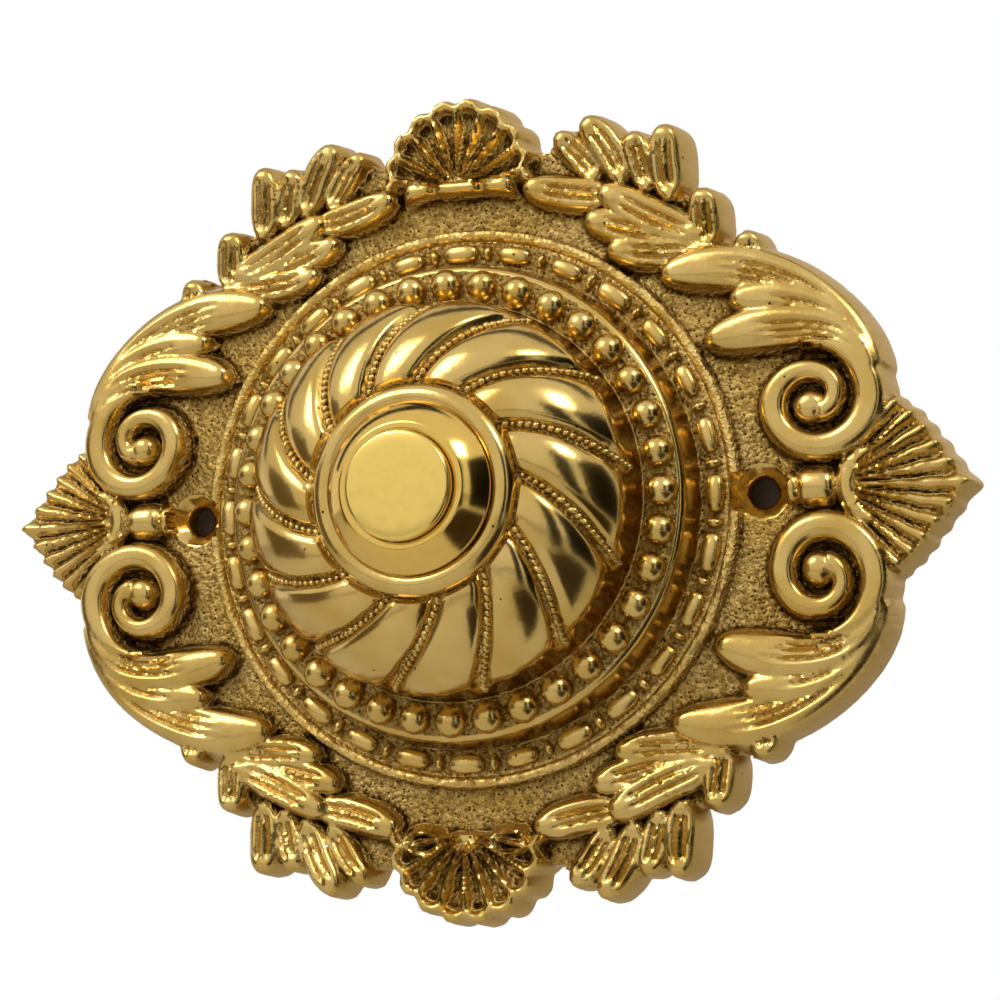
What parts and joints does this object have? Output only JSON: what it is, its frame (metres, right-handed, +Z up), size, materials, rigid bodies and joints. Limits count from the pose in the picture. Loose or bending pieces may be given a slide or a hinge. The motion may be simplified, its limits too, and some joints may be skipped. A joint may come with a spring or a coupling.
{
  "type": "doorbell push button",
  "caption": "Ornate cast-brass wall plate with shells, leaves and scrolls round a swirled dome, and a round push button that closes a bell circuit.",
  "frame": {"origin": "centre of the back face, on the wall, midway between the two screw holes", "axes": "+X to the right and +Z up the wall, as seen from the front; the button faces -Y and the wall is at y = 0"},
  "size_m": [0.1246, 0.0288, 0.1044],
  "materials": {
    "cast_brass": "sand-cast and polished on the high places, brown in the hollows",
    "turned_brass": "turned and polished",
    "polished_button_brass": "turned and polished to a satin mirror",
    "black_rubber": "moulded",
    "plated_steel": "zinc plated",
    "spring_steel": "bright drawn",
    "black_phenolic": "moulded",
    "phosphor_bronze": "rolled strip",
    "silver_contact": "riveted silver"
  },
  "bodies": {
    "plate": {"front_plate": "cast_brass", "bezel_body": "turned_brass", "seat_gasket": "black_rubber", "lock_washer": "plated_steel", "bezel_nut": "turned_brass", "return_spring": "spring_steel", "terminal_base": "black_phenolic", "contact_post_left": "turned_brass", "contact_post_right": "turned_brass", "terminal_washers": "turned_brass", "terminal_screws": "turned_brass", "base_circlip": "spring_steel"},
    "button": {"push_button": "polished_button_brass", "plunger": "black_phenolic", "contact_bridge": "phosphor_bronze", "contact_tips": "silver_contact", "bridge_retainer": "plated_steel"}
  },
  "joints": [
    {"name": "button_press", "type": "slide", "parent": "plate", "child": "button", "axis": [0, 1, 0], "range_m": [0, 0.0022], "stiffness_N_per_m": 900, "springref_m": -0.004, "deforming": ["return_spring"]}
  ]
}
